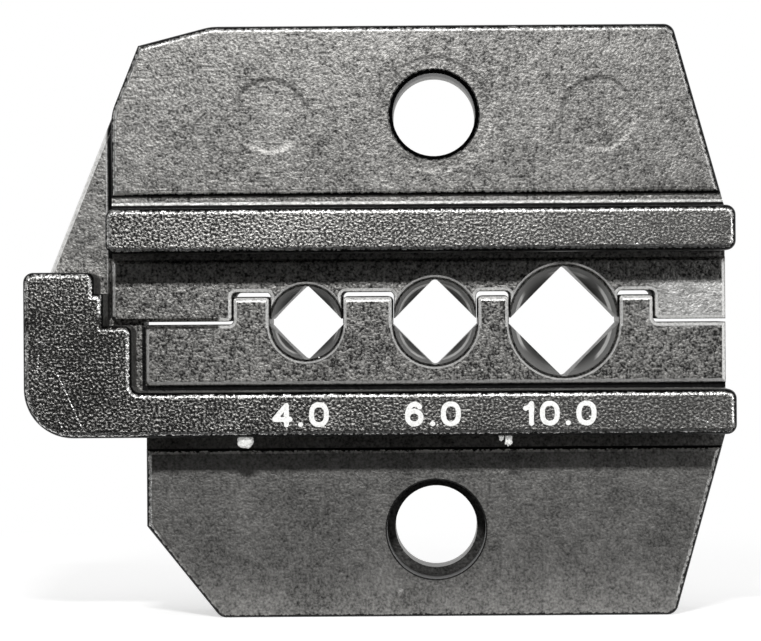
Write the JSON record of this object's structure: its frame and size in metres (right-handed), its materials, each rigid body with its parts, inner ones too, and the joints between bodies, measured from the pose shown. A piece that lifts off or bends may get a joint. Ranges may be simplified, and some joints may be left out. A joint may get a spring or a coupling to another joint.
{
  "type": "crimp die insert",
  "caption": "Pair of interlocking crimp die halves with square crimp cavities, guide fingers, a tab and fork guide, and a fixing bore in each mounting tongue.",
  "frame": {"origin": "on the foot of the lower half's tongue, under the fixing bores, in the middle of the thickness", "axes": "+Z is the opening direction, from the lower half to the upper half. +X runs along the row of cavities, from the guide fork towards the largest cavity. The front, from which the lower bore is counterbored, faces -Y."},
  "size_m": [0.0431, 0.016, 0.0364],
  "materials": {
    "black_oxide_steel": "black oxide, satin, with a fine grain and bright worn edges",
    "white_paint": "matte marking paint, slightly worn"
  },
  "bodies": {
    "lower_die": {"lower_die": "black_oxide_steel"},
    "upper_die": {"upper_die": "black_oxide_steel"}
  },
  "joints": [
    {"name": "die_slide", "type": "slide", "parent": "lower_die", "child": "upper_die", "axis": [0, 0, 1], "range_m": [-0.00019, 0.012]}
  ]
}
